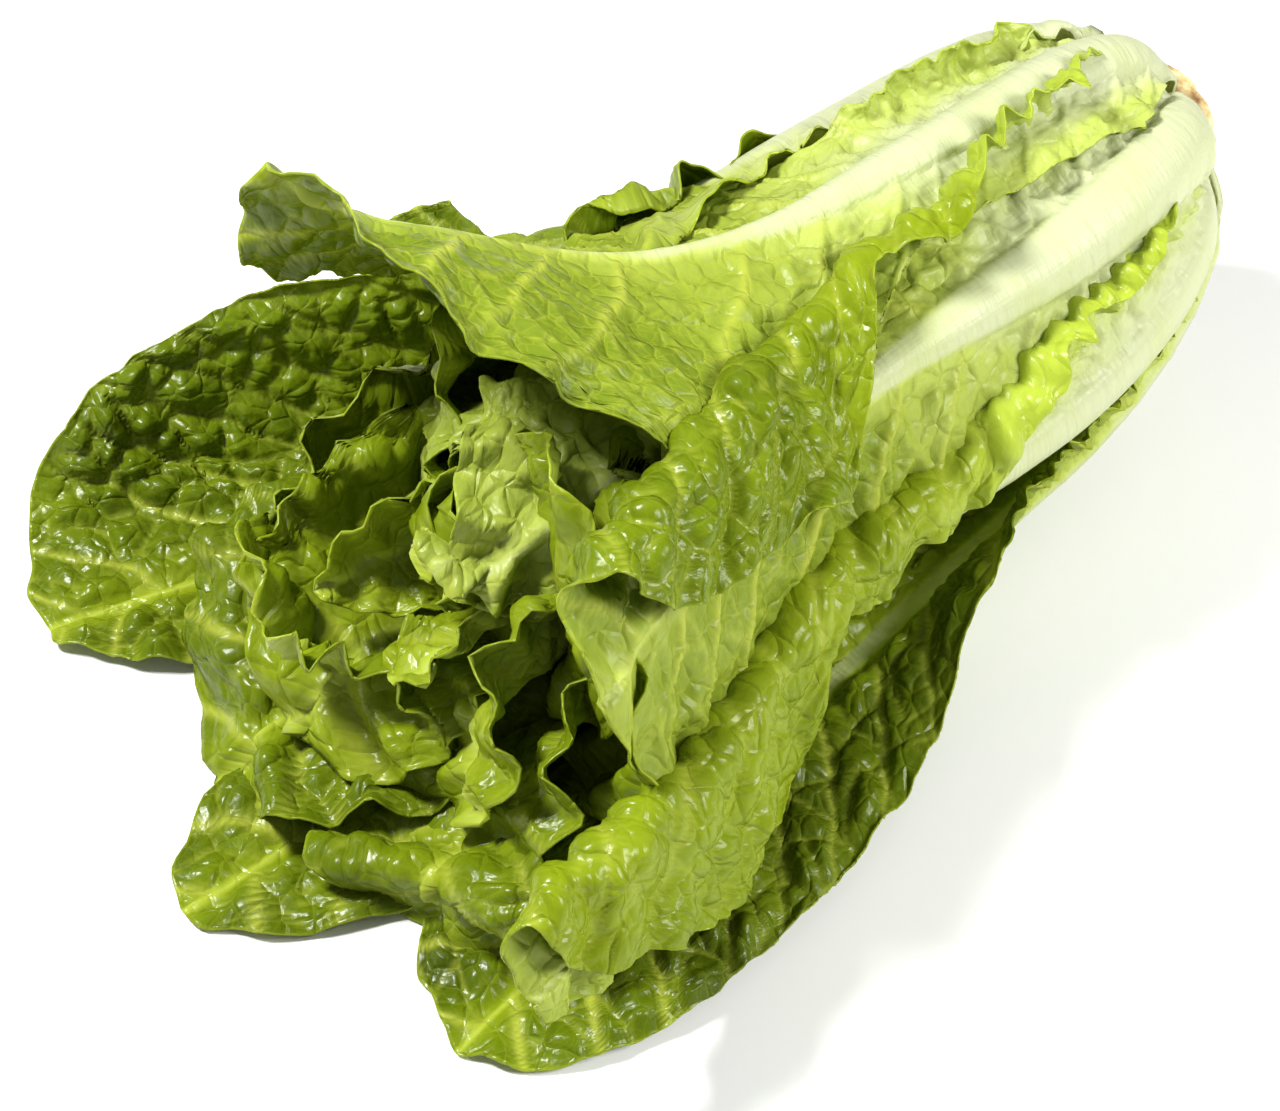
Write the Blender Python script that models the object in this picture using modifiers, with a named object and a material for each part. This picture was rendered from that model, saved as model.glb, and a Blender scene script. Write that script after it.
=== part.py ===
"""Head of cos lettuce lying on its side: 24 leaves round a short tapered stem.

Frame: +Z up, the table is z = 0, the head lies along Y with its open crown towards -Y and the
cut end of its stem towards +Y. The origin is under the middle of the head, on the table.

Each leaf is one open sheet with a Solidify modifier. The sheets of one whorl share one vase
shape and lean across it, so each leaf covers one edge of the next and none of them cross.
"""

import math

import bmesh
import bpy
import numpy as np

MM = 0.001

# The head.
AXIS_HEIGHT = 61.2 * MM     # middle of the head above the table
BUTT_RISE = 10 * MM         # how much higher the cut end sits than the middle of the head
BUTT_RISE_LENGTH = 85 * MM
BODY_EASE = 1.31            # radians by which a leaf leans out where it leaves the stem
LEAN_LENGTH_RATIO = 1.19    # makes a leaf reach its whorl's radius as that lean dies away
TIP_ROUNDING = 0.30         # share of a leaf's length taken by its rounded end
MIN_BEND_RADIUS = 16 * MM

# Each whorl: body radius, radius and place on the stem where its leaves start, how much of
# the crown's flare it takes, how far across its edges lean, blade and rib thickness, flare span.
WHORLS = {
    "outer": dict(radius=58.5, start_radius=16.0, start=4, flare=1.0, lean=0.06, blade=1.2,
                  rib=3.6, opens=(120, 205)),
    "wrapper": dict(radius=47, start_radius=15.0, start=12, flare=1.0, lean=0.095, blade=1.2,
                    rib=4.6, opens=(112, 205)),
    "inner": dict(radius=34, start_radius=12.0, start=25, flare=0.72, lean=0.125, blade=1.1,
                  rib=3.6, opens=(105, 200)),
    "heart": dict(radius=22, start_radius=9.0, start=38, flare=0.45, lean=0.135, blade=1.0,
                  rib=2.6, opens=(90, 175)),
    "core": dict(radius=11.5, start_radius=6.0, start=50, flare=0.22, lean=0.13, blade=0.9,
                 rib=1.8, opens=(80, 150)),
}

# Flare of the crown in degrees, by angle round the head (0 is up, 90 is the near side, +X).
FLARE_ALL_ROUND = 20
FLARE_TOP = dict(angle=-24, width=32, extra=16)
FLARE_NEAR = dict(angle=92, width=30, extra=3)
FLARE_FAR = dict(angle=-92, width=30, extra=4)
FLARE_BELOW_FROM = 105      # past this angle the table holds the leaves in
FLARE_BELOW_SHARE = 0.30

# Each leaf: angle round the head, length, width of its two halves, turn of its tip round the
# head and how far it sinks where it hangs past the body. The blade of an old outer leaf has
# also fallen: flat is how far, from 0 to 1, height is where its rib lies over the table, and
# lift is the angle in degrees at which its far wing stands up from the table again.
LEAVES = {
    "outer_leaf_far": dict(whorl="outer", angle=-124, length=306, halves=(24, 66), sway=2,
                           height=3.2, flat=0.89, sink=0.45, lift=58),
    "outer_leaf_near": dict(whorl="outer", angle=134, length=296, halves=(42, 38), sway=0,
                            height=5.4, flat=1.0, sink=0.3),
    "outer_leaf_under": dict(whorl="outer", angle=-179, length=316, halves=(41, 38), sway=0,
                             height=5.2, flat=0.9, sink=0.75),
    "leaf_upper_far": dict(whorl="wrapper", angle=-57, length=236, halves=(56, 56), sway=-4,
                           sink=0.30),
    "leaf_top": dict(whorl="wrapper", angle=-4, length=252, halves=(56, 64), sway=-36,
                     sink=0.25),
    "leaf_upper_near": dict(whorl="wrapper", angle=46, length=212, halves=(56, 58), sway=10,
                            sink=0.25),
    "leaf_near": dict(whorl="wrapper", angle=99, length=286, halves=(58, 50), sway=4,
                      sink=0.45),
    "leaf_lower_near": dict(whorl="wrapper", angle=150, length=288, halves=(58, 60), sway=0,
                            sink=0.60),
    "leaf_lower_far": dict(whorl="wrapper", angle=-158, length=300, halves=(58, 54), sway=0,
                           sink=0.55),
    "leaf_far": dict(whorl="wrapper", angle=-108, length=216, halves=(56, 56), sway=0,
                     sink=0.45),
    "inner_leaf_1": dict(whorl="inner", angle=-31, length=226, halves=(48, 50), sway=-6,
                         sink=0.20),
    "inner_leaf_2": dict(whorl="inner", angle=28, length=216, halves=(48, 50), sway=6,
                         sink=0.20),
    "inner_leaf_3": dict(whorl="inner", angle=89, length=218, halves=(48, 50), sway=6,
                         sink=0.25),
    "inner_leaf_4": dict(whorl="inner", angle=149, length=232, halves=(50, 52), sway=0,
                         sink=0.30),
    "inner_leaf_5": dict(whorl="inner", angle=-151, length=238, halves=(50, 52), sway=0,
                         sink=0.30),
    "inner_leaf_6": dict(whorl="inner", angle=-91, length=228, halves=(48, 42), sway=0,
                         sink=0.25),
    "heart_leaf_1": dict(whorl="heart", angle=-10, length=196, halves=(36, 38), sway=-4,
                         sink=0),
    "heart_leaf_2": dict(whorl="heart", angle=62, length=188, halves=(36, 38), sway=4,
                         sink=0),
    "heart_leaf_3": dict(whorl="heart", angle=134, length=192, halves=(36, 38), sway=0,
                         sink=0),
    "heart_leaf_4": dict(whorl="heart", angle=-154, length=196, halves=(36, 38), sway=0,
                         sink=0),
    "heart_leaf_5": dict(whorl="heart", angle=-82, length=190, halves=(36, 38), sway=0,
                         sink=0),
    "core_leaf_1": dict(whorl="core", angle=20, length=150, halves=(20, 22), sway=0,
                        sink=0),
    "core_leaf_2": dict(whorl="core", angle=140, length=142, halves=(20, 22), sway=0,
                        sink=0),
    "core_leaf_3": dict(whorl="core", angle=-100, length=146, halves=(20, 22), sway=0,
                        sink=0),
}

# Sheet grid: columns across a leaf and rows along it, closer together near the stem.
GRID_LARGE = (8, 12)
GRID_SMALL = (6, 10)
ROW_CROWDING = 1.45
COLUMN_CROWDING = 1.25
FLAT_BAND = 1.1 * MM        # what comes this close to the table lies flat on it

# Leaf outline, as shares of its full half width and of its length.
CLASP_WIDTH = 0.10
NECK_WIDTH = 0.30
NECK_END = 0.12
BLADE_START = 0.10
BLADE_FULL = 0.72

# Where leaves sink towards the table, measured sideways from the middle of the head.
SINK_FROM = 50 * MM
SINK_TO = 98 * MM
FLOOR_SOFTNESS = 1.5 * MM
FALL_SPAN = (0.30, 0.58)
TIP_DROOP = 0.4             # share of its height that a fallen leaf loses towards its tip
LIFT_FROM = 16 * MM         # a lifted wing starts to bend up this far from its rib
LIFT_RADIUS = 34 * MM

# Stem: radius at places along it, from the cut end inwards.
STEM_PROFILE = ((2.5, 11.8), (3.5, 13.4), (9, 13.8), (16, 13.0), (26, 9.8), (38, 6.9),
                (50, 4.2), (59, 2.6), (64, 1.2))
STEM_SIDES = 20

COLOURS = {
    "outer": (0.130, 0.235, 0.022, 1),
    "wrapper": (0.265, 0.400, 0.060, 1),
    "inner": (0.250, 0.400, 0.050, 1),
    "heart": (0.420, 0.530, 0.130, 1),
    "core": (0.600, 0.640, 0.260, 1),
    "stem": (0.720, 0.640, 0.420, 1),
}


def clear_scene():
    for obj in list(bpy.data.objects):
        bpy.data.objects.remove(obj, do_unlink=True)


def collection(name):
    made = bpy.data.collections.new(name)
    bpy.context.scene.collection.children.link(made)
    return made


def material(name, colour, roughness):
    made = bpy.data.materials.new(name)
    made.use_nodes = True
    shader = made.node_tree.nodes["Principled BSDF"]
    shader.inputs["Base Color"].default_value = colour
    shader.inputs["Roughness"].default_value = roughness
    shader.inputs["Metallic"].default_value = 0
    made.diffuse_color = colour
    return made


def smooth(x, start, end):
    t = np.clip((x - start) / (end - start), 0, 1)
    return t * t * (3 - 2 * t)


def bell(angle, centre, width):
    apart = (angle - centre + 180) % 360 - 180
    return np.exp(-((apart / width) ** 2))


def flare_at(angle):
    """Flare of the outermost vase, in radians, at an angle round the head in degrees."""
    flare = FLARE_ALL_ROUND
    for side in (FLARE_TOP, FLARE_NEAR, FLARE_FAR):
        flare = flare + side["extra"] * bell(angle, side["angle"], side["width"])
    away = np.abs((angle + 180) % 360 - 180)
    held = 1 - (1 - FLARE_BELOW_SHARE) * smooth(away, FLARE_BELOW_FROM, 180)
    return np.radians(flare * held)


def meridian(whorl, distance, angle, samples=48):
    """Place along the head, radius and slope after a distance along the vase of a whorl."""
    ease = (whorl["radius"] - whorl["start_radius"]) / LEAN_LENGTH_RATIO * MM
    opens_from, opens_to = (value * MM for value in whorl["opens"])
    flare = flare_at(angle) * whorl["flare"]

    def slope_at(s, f):
        return BODY_EASE * np.exp(-s / ease) + f * smooth(s, opens_from, opens_to)

    steps = (np.arange(samples) + 0.5) / samples
    slopes = slope_at(distance[:, None] * steps, flare[:, None])
    along = whorl["start"] * MM + distance * np.cos(slopes).mean(axis=1)
    radius = whorl["start_radius"] * MM + distance * np.sin(slopes).mean(axis=1)
    return along, radius, slope_at(distance, flare)


def butt_rise(place):
    """How far the head's middle line climbs at a place along it, towards the cut end."""
    return BUTT_RISE * (1 - smooth(place, 0, BUTT_RISE_LENGTH))


def half_width(leaf, share, across):
    """Half width of the leaf at a share of its length, on the side that across points to."""
    full = np.where(across < 0, leaf["halves"][0], leaf["halves"][1]) * MM
    neck = CLASP_WIDTH + (NECK_WIDTH - CLASP_WIDTH) * smooth(share, 0, NECK_END)
    return full * (neck + (1 - neck) * smooth(share, BLADE_START, BLADE_FULL))


def lifted(leaf, sideways, share):
    """How far out and how far up a fallen leaf reaches where its wing bends up again."""
    most = np.radians(leaf.get("lift", 0)) * smooth(share, 0.35, 0.6)
    bent = np.maximum(sideways - LIFT_FROM, 0)
    angle = np.minimum(bent / LIFT_RADIUS, most)
    straight = bent - angle * LIFT_RADIUS
    reach = sideways - bent + LIFT_RADIUS * np.sin(angle) + straight * np.cos(angle)
    climb = LIFT_RADIUS * (1 - np.cos(angle)) + straight * np.sin(angle)
    return reach, climb


def sheet_points(leaf, across, along):
    """Points of a leaf's inner face; across runs from -1 to 1 and along from 0 to 1."""
    whorl = WHORLS[leaf["whorl"]]
    length = leaf["length"] * MM
    end = 1 - TIP_ROUNDING * (1 - np.sqrt(np.clip(1 - across**2, 0.0016, 1)))
    distance = along * end * length
    share = distance / length
    sideways = across * half_width(leaf, share, across)

    middle = leaf["angle"] + leaf["sway"] * smooth(share, 0.45, 1)
    _, middle_radius, _ = meridian(whorl, distance, middle)
    angle = middle + np.degrees(sideways / np.maximum(middle_radius, MIN_BEND_RADIUS))
    place, radius, slope = meridian(whorl, distance, angle)

    lean = whorl["lean"] * sideways
    place = place - np.sin(slope) * lean
    out = np.cos(slope) * lean

    turn = np.radians(angle)
    held_radius = np.minimum(radius, whorl["radius"] * MM)
    x = (radius + out) * np.sin(turn)
    below = smooth(-np.cos(turn), 0, 0.5)
    z = AXIS_HEIGHT + (radius + (held_radius - radius) * below + out) * np.cos(turn)
    overhang = smooth(np.abs(x), SINK_FROM, SINK_TO)
    z = z * (1 - leaf["sink"] * overhang)
    fallen = leaf.get("flat", 0) * smooth(share, *FALL_SPAN)
    fallen_height = (leaf.get("height", 0) * MM - lean) * (1 - TIP_DROOP * smooth(share, 0.7, 1))
    reach, climb = lifted(leaf, sideways, share)
    spread = middle_radius * np.sin(np.radians(middle)) - reach
    x = x + (spread - x) * fallen
    z = z + (fallen_height + climb - z) * fallen
    rest = whorl["blade"] * MM
    z = rest + FLOOR_SOFTNESS * np.logaddexp(0, (z - rest) / FLOOR_SOFTNESS)
    z = z + butt_rise(place)
    return np.stack([x, -place, z], axis=1)


def leaf_sheet(name, leaf):
    """An open grid laid on the leaf's surface, with its normals towards the heart."""
    columns, rows = GRID_LARGE if leaf["whorl"] in ("outer", "wrapper") else GRID_SMALL
    bpy.ops.mesh.primitive_grid_add(x_subdivisions=columns, y_subdivisions=rows, size=2)
    obj = bpy.context.object
    obj.name = obj.data.name = name
    mesh = obj.data
    flat = np.empty(len(mesh.vertices) * 3)
    mesh.vertices.foreach_get("co", flat)
    flat = flat.reshape(-1, 3)
    across = np.sign(flat[:, 0]) * np.abs(flat[:, 0]) ** COLUMN_CROWDING
    along = ((flat[:, 1] + 1) / 2) ** ROW_CROWDING
    mesh.vertices.foreach_set("co", sheet_points(leaf, across, along).ravel())
    mesh.update()

    whorl = WHORLS[leaf["whorl"]]
    ridge = np.exp(-((across * half_width(leaf, along, across) / (9 * MM)) ** 2))
    taper = 1 - smooth(along, 0.15, 0.75)
    rise = (whorl["rib"] - whorl["blade"]) * ridge * taper * (0.45 + 0.55 * smooth(along, 0, 0.1))
    thickness = whorl["blade"] + rise
    group = obj.vertex_groups.new(name="thickness")
    for index, value in enumerate(thickness):
        group.add([index], float(value / whorl["rib"]), "REPLACE")
    return obj


def thicken(obj, leaf):
    """Gives the sheet its blade and rib, outwards."""
    modifier = obj.modifiers.new("blade", "SOLIDIFY")
    modifier.thickness = WHORLS[leaf["whorl"]]["rib"] * MM
    modifier.offset = -1
    modifier.vertex_group = "thickness"
    modifier.use_rim = True
    bpy.ops.object.select_all(action="DESELECT")
    obj.select_set(True)
    bpy.context.view_layer.objects.active = obj
    bpy.ops.object.modifier_apply(modifier=modifier.name)


def outwards(obj):
    """Makes all faces of a closed mesh point outwards, and cuts them into triangles."""
    work = bmesh.new()
    work.from_mesh(obj.data)
    bmesh.ops.triangulate(work, faces=work.faces, quad_method="SHORT_EDGE")
    bmesh.ops.recalc_face_normals(work, faces=work.faces)
    if work.calc_volume(signed=True) < 0:
        bmesh.ops.reverse_faces(work, faces=work.faces)
    work.to_mesh(obj.data)
    work.free()


def stem():
    """The short stem, turned from its profile, with its cut face at the butt."""
    mesh = bpy.data.meshes.new("stem")
    work = bmesh.new()
    points = [(radius * MM, 0, -place * MM) for place, radius in STEM_PROFILE]
    points = [(0, 0, points[0][2]), *points, (0, 0, points[-1][2])]
    rail = [work.verts.new(point) for point in points]
    for first, second in zip(rail, rail[1:]):
        work.edges.new((first, second))
    bmesh.ops.spin(work, geom=work.verts[:] + work.edges[:], axis=(0, 0, 1), cent=(0, 0, 0),
                   angle=2 * math.pi, steps=STEM_SIDES, use_merge=True)
    bmesh.ops.remove_doubles(work, verts=work.verts, dist=0.00002)
    for vertex in work.verts:
        x, y, z = vertex.co
        vertex.co = (x, z, y + AXIS_HEIGHT + butt_rise(-z))
    work.to_mesh(mesh)
    work.free()
    return bpy.data.objects.new("stem", mesh)


def move_to_origin(objects):
    """Puts the middle of the head's underside at the origin, flat where it rests."""
    corners = np.concatenate([[vertex.co[:] for vertex in obj.data.vertices] for obj in objects])
    low, high = corners.min(axis=0), corners.max(axis=0)
    shift = np.array([(low[0] + high[0]) / 2, (low[1] + high[1]) / 2, low[2]])
    for obj in objects:
        for vertex in obj.data.vertices:
            vertex.co -= type(vertex.co)(shift)
            if vertex.co.z < FLAT_BAND:
                vertex.co.z = 0
        obj.data.update()


def main():
    clear_scene()
    parts = collection("head_of_lettuce")
    finishes = {kind: material(kind, colour, 0.42) for kind, colour in COLOURS.items()}
    made = []
    for name, leaf in LEAVES.items():
        obj = leaf_sheet(name, leaf)
        thicken(obj, leaf)
        obj.data.materials.append(finishes[leaf["whorl"]])
        made.append(obj)
    core = stem()
    core.data.materials.append(finishes["stem"])
    made.append(core)
    for obj in made:
        for owner in list(obj.users_collection):
            owner.objects.unlink(obj)
        parts.objects.link(obj)
        outwards(obj)
        obj.data.shade_smooth()
    move_to_origin(made)


main()
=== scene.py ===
# %% [markdown]
# # A head of cos lettuce
# The head lies on its side on a pale table. Twenty-four leaves wrap a short stem, and the
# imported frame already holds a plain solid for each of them. This script grows the leaves
# again with what the solids leave out: thick ribs, side veins, blisters, frilled edges and
# curled tips. It then gives them a thin, waxy, slightly see-through finish.

import math

import bpy
import numpy as np
from mathutils import Matrix, Vector


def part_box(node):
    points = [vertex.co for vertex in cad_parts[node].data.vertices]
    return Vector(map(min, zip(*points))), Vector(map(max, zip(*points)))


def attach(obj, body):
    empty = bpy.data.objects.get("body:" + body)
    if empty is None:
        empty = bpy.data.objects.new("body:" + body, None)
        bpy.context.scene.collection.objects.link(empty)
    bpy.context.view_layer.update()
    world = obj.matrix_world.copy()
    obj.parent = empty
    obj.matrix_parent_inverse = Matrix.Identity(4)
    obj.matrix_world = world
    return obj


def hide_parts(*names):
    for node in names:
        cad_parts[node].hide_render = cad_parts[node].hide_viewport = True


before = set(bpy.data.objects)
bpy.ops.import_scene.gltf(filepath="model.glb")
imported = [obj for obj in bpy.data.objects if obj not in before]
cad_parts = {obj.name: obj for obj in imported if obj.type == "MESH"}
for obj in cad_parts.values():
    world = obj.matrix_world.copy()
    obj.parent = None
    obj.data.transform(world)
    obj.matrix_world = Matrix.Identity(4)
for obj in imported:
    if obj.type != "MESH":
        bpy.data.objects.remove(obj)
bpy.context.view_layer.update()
MM = 0.001

# %% [markdown]
# ## Where the head is
# The stem's solid tells where the middle line of the head runs. Its profile is the same one
# that turned the solid: places inwards from the cut end, and the radius at each.

# %% The head's middle line
STEM_PROFILE = ((2.5, 11.8), (3.5, 13.4), (9, 13.8), (16, 13.0), (26, 9.8), (38, 6.9),
                (50, 4.2), (59, 2.6), (64, 1.2))
AXIS_HEIGHT = 61.2 * MM
BUTT_RISE = 10 * MM
BUTT_RISE_LENGTH = 85 * MM


def smooth(x, start, end):
    """Climbs from 0 to 1 between start and end, with soft ends."""
    t = np.clip((x - start) / (end - start), 0, 1)
    return t * t * (3 - 2 * t)


def butt_rise(place):
    return BUTT_RISE * (1 - smooth(place, 0, BUTT_RISE_LENGTH))


stem_low, stem_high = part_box("stem")
stem_top = max(radius * MM + butt_rise(place * MM) for place, radius in STEM_PROFILE)
HEAD = np.array([
    (stem_low.x + stem_high.x) / 2,
    stem_high.y + STEM_PROFILE[0][0] * MM,
    stem_high.z - stem_top - AXIS_HEIGHT,
])
print("head starts at", np.round(HEAD / MM, 2), "mm")

# %% [markdown]
# ## The vase that a whorl of leaves shares
# Leaves of one whorl hug one surface: it leans out from the stem, runs along the body and
# flares at the crown. A leaf is then a sheet laid on that vase, and two distances say where
# a point is on it: sideways from the rib, and along the rib from the stem. Drawing each leaf
# by hand would be freer, but neighbours would soon stop following each other. The vase doesn't
# keep the finished leaves wholly apart: their wings are wide and their blisters and frills are
# deep, so neighbours cross each other in many places where they are pressed together.

# %% Whorls and their flare
BODY_EASE = 1.31
LEAN_LENGTH_RATIO = 1.19
MIN_BEND_RADIUS = 16 * MM
WHORLS = {
    "outer": dict(radius=58.5, start_radius=16.0, start=4, flare=1.0, lean=0.06, blade=1.2,
                  opens=(120, 205)),
    "wrapper": dict(radius=47, start_radius=15.0, start=12, flare=1.0, lean=0.095, blade=1.2,
                    opens=(112, 205)),
    "inner": dict(radius=34, start_radius=12.0, start=25, flare=0.72, lean=0.125, blade=1.1,
                  opens=(105, 200)),
    "heart": dict(radius=22, start_radius=9.0, start=38, flare=0.45, lean=0.135, blade=1.0,
                  opens=(90, 175)),
    "core": dict(radius=11.5, start_radius=6.0, start=50, flare=0.22, lean=0.13, blade=0.9,
                 opens=(80, 150)),
}
FLARE_ALL_ROUND = 20
FLARES = ((-24, 32, 16), (92, 30, 3), (-92, 30, 4))
FLARE_BELOW_FROM = 105
FLARE_BELOW_SHARE = 0.30
SINK_SPAN = (50 * MM, 98 * MM)
FLOOR_SOFTNESS = 1.5 * MM
FALL_SPAN = (0.30, 0.58)
TIP_DROOP = 0.4
LIFT_FROM = 16 * MM
LIFT_RADIUS = 34 * MM


def flare_at(angle):
    """Flare in radians at an angle round the head in degrees: 0 is up, 90 is the +X side."""
    flare = FLARE_ALL_ROUND
    for centre, width, extra in FLARES:
        apart = (angle - centre + 180) % 360 - 180
        flare = flare + extra * np.exp(-((apart / width) ** 2))
    away = np.abs((angle + 180) % 360 - 180)
    return np.radians(flare * (1 - (1 - FLARE_BELOW_SHARE) * smooth(away, FLARE_BELOW_FROM, 180)))


def meridian(whorl, distance, angle, samples=40):
    """Place along the head, radius and slope after a distance along the vase."""
    ease = (whorl["radius"] - whorl["start_radius"]) / LEAN_LENGTH_RATIO * MM
    opens_from, opens_to = (value * MM for value in whorl["opens"])
    flare = flare_at(angle) * whorl["flare"]
    climb = np.zeros_like(distance)
    reach = np.zeros_like(distance)
    for step in (np.arange(samples) + 0.5) / samples:
        s = distance * step
        slope = BODY_EASE * np.exp(-s / ease) + flare * smooth(s, opens_from, opens_to)
        climb += np.cos(slope)
        reach += np.sin(slope)
    slope = BODY_EASE * np.exp(-distance / ease) + flare * smooth(distance, opens_from, opens_to)
    place = whorl["start"] * MM + distance * climb / samples
    return place, whorl["start_radius"] * MM + distance * reach / samples, slope


def lifted(leaf, sideways, share):
    """How far out and up a fallen leaf reaches where its far wing bends up again."""
    most = np.radians(leaf.get("lift", 0)) * smooth(share, 0.35, 0.6)
    bent = np.maximum(sideways - LIFT_FROM, 0)
    angle = np.minimum(bent / LIFT_RADIUS, most)
    straight = bent - angle * LIFT_RADIUS
    reach = sideways - bent + LIFT_RADIUS * np.sin(angle) + straight * np.cos(angle)
    return reach, LIFT_RADIUS * (1 - np.cos(angle)) + straight * np.sin(angle)


def vase_point(leaf, sideways, distance):
    """The inner face of a leaf that has no curl of its own, as an array of points."""
    whorl = WHORLS[leaf["whorl"]]
    share = distance / (leaf["length"] * MM)
    middle = leaf["angle"] + leaf["sway"] * smooth(share, leaf.get("sways_from", 0.45), 1)
    _, middle_radius, _ = meridian(whorl, distance, middle)
    angle = middle + np.degrees(sideways / np.maximum(middle_radius, MIN_BEND_RADIUS))
    place, radius, slope = meridian(whorl, distance, angle)
    lean = whorl["lean"] * sideways
    place = place - np.sin(slope) * lean
    out = np.cos(slope) * lean
    turn = np.radians(angle)
    held = np.minimum(radius, whorl["radius"] * MM)
    x = (radius + out) * np.sin(turn)
    below = smooth(-np.cos(turn), 0, 0.5)
    z = AXIS_HEIGHT + (radius + (held - radius) * below + out) * np.cos(turn)
    z = z * (1 - leaf["sink"] * smooth(np.abs(x), *SINK_SPAN))
    fallen = leaf.get("flat", 0) * smooth(share, *FALL_SPAN)
    rest_height = (leaf.get("height", 0) * MM - lean) * (1 - TIP_DROOP * smooth(share, 0.7, 1))
    reach, climb = lifted(leaf, sideways, share)
    spread = middle_radius * np.sin(np.radians(middle)) - reach
    x = x + (spread - x) * fallen
    z = z + (rest_height + climb - z) * fallen
    rest = whorl["blade"] * MM
    z = rest + FLOOR_SOFTNESS * np.logaddexp(0, (z - rest) / FLOOR_SOFTNESS) + butt_rise(place)
    return np.stack([x, -place, z], axis=-1)


# %% [markdown]
# ## Curls
# An old wing rolls outwards over its own rib, and a tip bends back or nods in. Both are the
# same move: up to a line the leaf keeps its shape, and past it the sheet follows an arc and
# then runs straight on. The arc keeps its length, so the leaf isn't stretched. Blender's own
# bend needs a window and bends a whole piece, so the arc is worked out here.

# %% Rolling a wing and bending a tip
STEP = 0.4 * MM
FOOT_TO_BLADE = (0.26, 0.44)
UNROLLED = 30
BEND_STRAYS = 0.25
BEND_STRAY_LENGTH = 17 * MM
TURN_KEPT = 0.75
TURN_STRAYS = 0.45
TURN_STRAY_LENGTH = 13 * MM


def unit(vectors):
    return vectors / np.maximum(np.linalg.norm(vectors, axis=-1, keepdims=True), 1e-12)


def arc(past, radius, most):
    """How far along and how far off the sheet a point gets after a distance on an arc."""
    angle = np.minimum(past / radius, most)
    straight = past - angle * radius
    along = radius * np.sin(angle) + straight * np.cos(angle)
    off = radius * (1 - np.cos(angle)) + straight * np.sin(angle)
    return along[..., None], off[..., None]


def rolled(surface, leaf, side, start, radius, degrees, span, until=(2, 3), edge=False):
    """Rolls a wing outwards past a line, start mm from the rib or the edge.

    Start may be two numbers: one beside the foot of the leaf and one beside its blade.
    """
    length = leaf["length"] * MM

    def curled(sideways, distance):
        share = distance / length
        growth = smooth(share, *span)
        foot, blade = start if isinstance(start, tuple) else (start, start)
        line = foot + (blade - foot) * smooth(share, *FOOT_TO_BLADE)
        line = (line + UNROLLED * (1 - growth) ** 2) * MM
        if edge:
            line = np.maximum(half_width(leaf, share, side) - foot * MM, 3 * MM)
        past = np.maximum(side * sideways - line, 0)
        held = np.where(past > 0, side * line, sideways)
        at = surface(held, distance)
        tangent = unit(surface(held + side * STEP, distance) - at)
        onward = unit(surface(held, distance + STEP) - at)
        outwards = side * np.cross(onward, tangent)
        stray = noise(distance / BEND_STRAY_LENGTH, share * 0, leaf["seed"] + 5)
        bend = radius * MM * (1 + BEND_STRAYS * stray)
        turn = np.radians(degrees) * growth * (1 - smooth(share, *until))
        if edge:
            stray = noise(distance / TURN_STRAY_LENGTH, share * 0, leaf["seed"] + 6)
            turn = turn * (TURN_KEPT + TURN_STRAYS * stray)
        along, off = arc(past, bend, turn)
        return at + tangent * along + outwards * off

    return curled


def bent(surface, leaf, start, radius, degrees, skew=0.0, wave=0.0):
    """Bends the blade past a share of its length: outwards, or inwards if degrees is negative."""
    length = leaf["length"] * MM
    way = math.copysign(1, degrees)

    def nodding(sideways, distance):
        line = start * length + skew * sideways
        line = line + wave * MM * noise(sideways / (26 * MM), sideways * 0, leaf["seed"] + 9)
        past = np.maximum(distance - line, 0)
        held = np.minimum(distance, line)
        at = surface(sideways, held)
        tangent = unit(at - surface(sideways, held - STEP))
        crosswise = unit(surface(sideways + STEP, held) - at)
        outwards = -np.cross(crosswise, tangent)
        along, off = arc(past, radius * MM, math.radians(abs(degrees)))
        return at + tangent * along + outwards * way * off

    return nodding


# %% [markdown]
# ## Repeatable randomness
# No two blisters are alike. Noise and scattered cells give that variety, and a fixed recipe
# of whole-number arithmetic gives the same leaf each time the script runs.

# %% Noise and cells over a leaf
def scatter(column, row, seed):
    """A number from 0 to 1 for each pair of whole numbers."""
    n = column.astype(np.int64) * 374761393 + row.astype(np.int64) * 668265263
    n = (n + seed * 974634777) & 0xFFFFFFFF
    n = ((n ^ (n >> 13)) * 1274126177) & 0xFFFFFFFF
    return ((n ^ (n >> 16)) & 0xFFFFFF) / 0xFFFFFF


def noise(x, y, seed):
    """Smooth noise from -1 to 1, with bumps about one unit across."""
    column, row = np.floor(x), np.floor(y)
    fx, fy = smooth(x - column, 0, 1), smooth(y - row, 0, 1)
    low = scatter(column, row, seed) * (1 - fx) + scatter(column + 1, row, seed) * fx
    high = scatter(column, row + 1, seed) * (1 - fx) + scatter(column + 1, row + 1, seed) * fx
    return 2 * (low * (1 - fy) + high * fy) - 1


def cell_border(x, y, seed):
    """How far a point is from the border of its cell, where cells are about a unit across."""
    column, row = np.floor(x), np.floor(y)
    first = np.full(x.shape, 9.0)
    second = first.copy()
    for right in (-1, 0, 1):
        for up in (-1, 0, 1):
            px = column + right + 0.12 + 0.76 * scatter(column + right, row + up, seed)
            py = row + up + 0.12 + 0.76 * scatter(column + right, row + up, seed + 31)
            apart = np.hypot(px - x, py - y)
            second = np.minimum(second, np.maximum(first, apart))
            first = np.minimum(first, apart)
    return second - first


# %% [markdown]
# ## What each leaf is like
# The first numbers are those of the frame: angle round the head, length, the widths of the
# two wings, and how the leaf sinks or lies. The others are looks: how wide the rib is, how
# much of the leaf is pale, how deep its blisters are, how strongly its edge is frilled, and
# which wings roll and which tips bend.

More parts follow.
